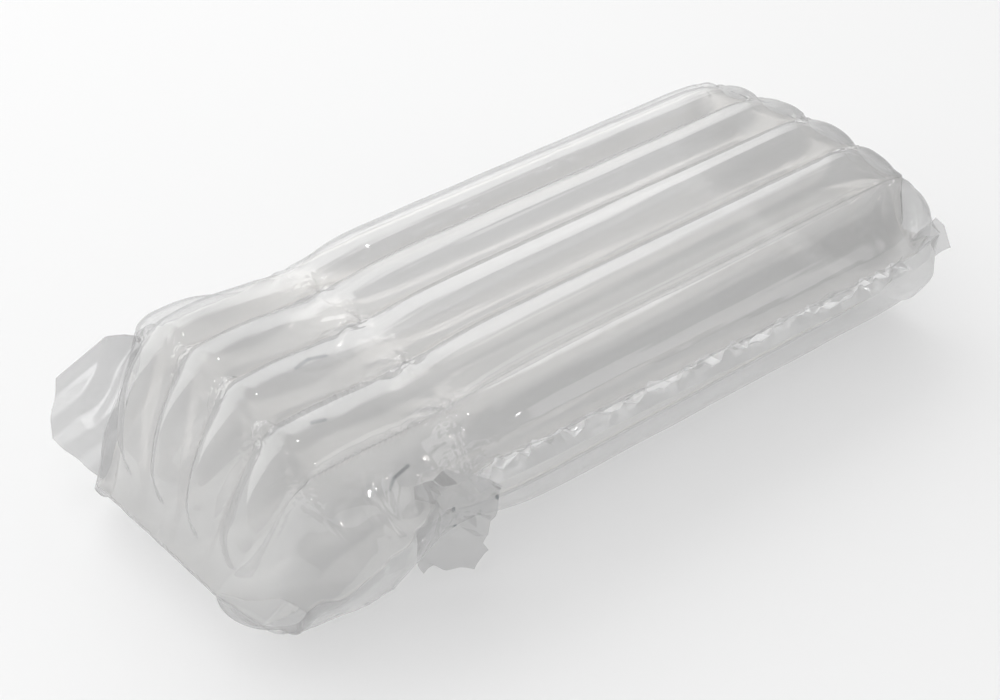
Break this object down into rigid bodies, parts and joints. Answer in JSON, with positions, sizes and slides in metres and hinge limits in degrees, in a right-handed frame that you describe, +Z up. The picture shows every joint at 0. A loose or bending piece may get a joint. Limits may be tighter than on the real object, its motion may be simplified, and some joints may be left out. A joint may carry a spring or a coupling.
{
  "type": "inflatable air column bag",
  "caption": "Inflated clear-film air column bag: parallel air columns on both faces, cinched into a head at one end, with side seam fins and loose film ears; cushions a long item in shipping.",
  "frame": {"origin": "on the floor that the bag lies on, under the middle of its bounding box", "axes": "+X along the air columns, from the cinched head to the far end; +Y to the rear side, where the seam has the head's standing ear; +Z up"},
  "size_m": [0.3726, 0.1708, 0.0835],
  "materials": {
    "clear_film": "clear, slightly hazy heat-sealed film with soft gloss"
  },
  "bodies": {
    "root": {"air_column_bag": "clear_film"}
  },
  "joints": []
}
